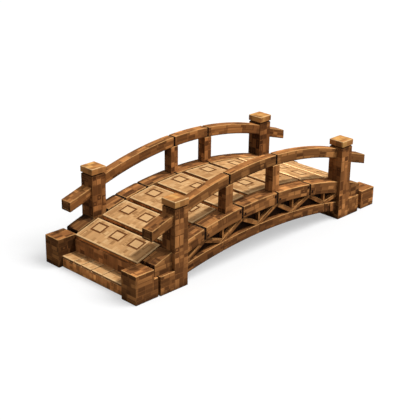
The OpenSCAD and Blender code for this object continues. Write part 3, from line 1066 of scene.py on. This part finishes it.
def within_squares(point, squares_x, slide):
    off = min(abs(point.y - slide - y) for y in SQUARES_Y)
    return abs(point.x - squares_x) < SQUARE_X + 0.002 and off < SQUARE_Y + 0.002


def on_field(point, length):
    """Whether a place on a slab's top lies inside its rim, which carries a painted highlight."""
    return RIM < point.x < length - RIM and abs(point.y) < DECK_HALF - RIM


def square_part(face, squares_x, slide):
    """1 on a raised square, -1 in its groove and in the groove under the slab's edge, 0 elsewhere."""
    c = face.center
    if c.z < 0.001 - LIP:
        return -1 if c.z > -0.0005 - LIP_FOOT else 0
    if not within_squares(c, squares_x, slide):
        return 0
    return 1 if c.z > 0.0005 and face.normal.z > 0.9 else -1


def make_deck():
    for i, (start, stop) in enumerate(zip(DECK_JOINTS, DECK_JOINTS[1:])):
        way = stop - start
        cut = 0 if i == 0 else SLAB_GAP / 2
        length = way.length - cut - (0 if i == SLAB_N - 1 else SLAB_GAP / 2)
        squares_x, slide = length * (0.62 if i else 0.645), SQUARE_SLIDES[i]
        slab = make_slab(length, squares_x, slide)
        # Painted light and shade: faces towards the near end are lightened where they stand in shade, and the tops
        # of the far slabs are lighter.
        over, ahead = (1.0, 2.6) if i < 5 else (1.1, 2.6) if i < 6 else (1.2, 3.5)
        lay_grain(
            slab,
            straight(ALONG_X),
            0.078,
            0.052,
            None,
            lambda f: ahead if f.normal.x < -0.3 and (i > 5 or f.center.z < -LIP_FOOT) else over,
        )
        mark(slab, "top", lambda f: f.center.z > -0.0005 - LIP and (f.normal.z > 0.3 or f.center.z > 0.001 - LIP))
        mark(slab, "square", lambda f: square_part(f, squares_x, slide))
        # The rim is a painted highlight, fainter on the far slabs.
        mark(slab, "rim", lambda f: (f.normal.z > 0.9 and not on_field(f.center, length)) * (1 if i < 5 else 0.3))
        slab.matrix_world = (
            Matrix.Translation(start) @ Matrix.Rotation(-math.atan2(way.z, way.x), 4, "Y") @ shift(cut)
        )
        settle(slab)
        fit([slab], f"slab_{i + 1}", [f"deck_slab_{i + 1}"], DECK_TIMBER)


def make_bearers():
    bearers = []
    for i in range(1, SLAB_N):
        before, joint, after = DECK_JOINTS[i - 1], DECK_JOINTS[i], DECK_JOINTS[i + 1]
        up_before = square_to(before, joint)
        up_after = square_to(joint, after)
        mean = (up_before + up_after).normalized()
        ridge = joint - mean * (SLAB_T / mean.dot(up_after))
        on_sill = abs(ridge.x) - BEARER_W / 2 > POST_IN
        low = SEAT if on_sill else ridge.z - BEARER_H
        piece = baulk(
            f"bearer_{i}", (ridge.x - BEARER_W / 2, -KERB_IN, low), (ridge.x + BEARER_W / 2, KERB_IN, ridge.z + 0.05)
        )
        saw(piece, ridge, up_before, "back")
        saw(piece, ridge, up_after, "back")
        ease(piece, 0.005)
        # Bearers under the near joints are darkened: painted shade in the gaps between slabs.
        lay_grain(piece, straight(ALONG_Y), 0.12, 0.045, None, 0.35 if i < 6 else 1.0)
        bearers.append(piece)
    fit(bearers, "deck_bearers", ["bearers"], DARK_TIMBER)


def make_cleats():
    """A short upright cleat on each lower chord, beside the far post."""
    x0, x1 = 1.232, 1.290
    cleat = baulk("cleat", (x0, KERB_OUT - 0.010, 0), (x1, KERB_OUT + 0.012, 0.4))
    saw(cleat, CHORD.top(x0), CHORD.out(CHORD.top(x0)), "back")
    saw(cleat, CHORD.under(x0), CHORD.out(CHORD.under(x0)), "front")
    ease(cleat, 0.005)
    for side, y in SIDES:
        piece = copy_of(cleat, f"{side}_chord_cleat", Matrix.Diagonal((1, y, 1, 1)))
        # The cleat is lightened: painted light where it stands in the shade by the post.
        lay_grain(piece, straight(ALONG_Z), 0.06, 0.03, None, 1.7)
        fit([piece], piece.name, [f"chord_{side}"], LOW_TIMBER)
    discard(cleat)


# The order gives each timber its number, and so its pattern.
make_posts()
make_ends()
make_steps()
make_kerbs()
make_chords()
make_webs()
make_rails()
make_deck()
make_bearers()
make_cleats()
clear_bench()


# ---------------------------------------------------------------- floor, light and camera

def lay_floor():
    """White as the camera sees it, with part of the light's shadows, and dim for the light it throws back."""
    shadows, thrown = 0.5, 0.14
    bpy.ops.mesh.primitive_plane_add(size=120, location=(0, 0, -0.001))
    floor = bpy.context.object
    floor.name = floor.data.name = "floor"
    settle(floor)
    finish = bpy.data.materials.new("white_floor")
    finish.use_nodes = True
    tree = finish.node_tree
    tree.nodes.clear()
    seen = put(tree, "LightPath").outputs["Is Camera Ray"]
    bright = put(tree, "Emission", {"Color": (1, 1, 1, 1), "Strength": 1.0})
    lit = put(tree, "BsdfDiffuse", {"Color": (1, 1, 1, 1)})
    shown = put(tree, "MixShader", {0: shadows, 1: bright.outputs[0], 2: lit.outputs[0]})
    dim = put(tree, "BsdfDiffuse", {"Color": (thrown, thrown, thrown, 1)})
    both = put(tree, "MixShader", {0: seen, 1: dim.outputs[0], 2: shown.outputs[0]})
    put(tree, "OutputMaterial", {"Surface": both.outputs[0]})
    floor.data.materials.append(finish)
    return floor


def hang_lights(floor):
    """A room brightest overhead, a sun from the far right, soft fills on the two sides that face the camera,
    and a wide light for the floor alone."""
    world = bpy.data.worlds.new("pale_room")
    bpy.context.scene.world = world
    world.use_nodes = True
    tree = world.node_tree
    tree.nodes.clear()
    seen = put(tree, "LightPath").outputs["Is Camera Ray"]
    look = put(tree, "TexCoord").outputs["Generated"]
    height = put(tree, "SeparateXYZ", {0: look}).outputs[2]
    glow = reckon("MULTIPLY_ADD", times(height, height), 0.62, 0.05)
    room = put(tree, "Background", {"Color": (1, 1, 1, 1), "Strength": glow})
    white = put(tree, "Background", {"Color": (1, 1, 1, 1), "Strength": 1.0})
    both = put(tree, "MixShader", {0: seen, 1: room.outputs[0], 2: white.outputs[0]})
    put(tree, "OutputWorld", {"Surface": both.outputs[0]})
    for name, energy, spread, way in (
        ("key_light", 2.25, 4, (0.42, -0.33, 1.0)),
        ("right_fill", 0.55, 60, (0.35, -0.85, 0.40)),
        ("end_fill", 0.12, 60, (-0.9, -0.2, 0.40)),
        ("floor_light", 2.9, 46, (0.45, -0.6, 1.0)),
    ):
        bpy.ops.object.light_add(type="SUN", location=(2, -4, 8))
        sun = bpy.context.object
        sun.name = name
        sun.data.energy = energy
        sun.data.angle = math.radians(spread)
        sun.rotation_euler = Vector(way).to_track_quat("Z", "Y").to_euler()
        lit = bpy.data.collections.new(f"{name}_reach")
        lit.objects.link(floor)
        lit.collection_objects[0].light_linking.link_state = "INCLUDE" if name == "floor_light" else "EXCLUDE"
        sun.light_linking.receiver_collection = lit


def set_camera():
    """Stands where the photograph was taken from, with the frame rolled by one degree."""
    azimuth, roll = math.radians(-46.0386), math.radians(0.9784)
    back = Vector((-0.665109, -0.641422, 0.382371)).normalized()
    right = Vector((math.cos(azimuth), math.sin(azimuth), 0))
    up = back.cross(right)
    side = right * math.cos(roll) + up * math.sin(roll)
    head = up * math.cos(roll) - right * math.sin(roll)
    bpy.ops.object.camera_add()
    camera = bpy.context.object
    stand = shift(-8.98616, -8.47300, 5.39290)
    camera.matrix_world = stand @ Matrix((side, head, back)).transposed().to_4x4()
    camera.data.sensor_width = 36
    camera.data.lens = 91.002
    bpy.context.scene.camera = camera


hang_lights(lay_floor())
set_camera()
bpy.context.scene.view_settings.view_transform = "Standard"
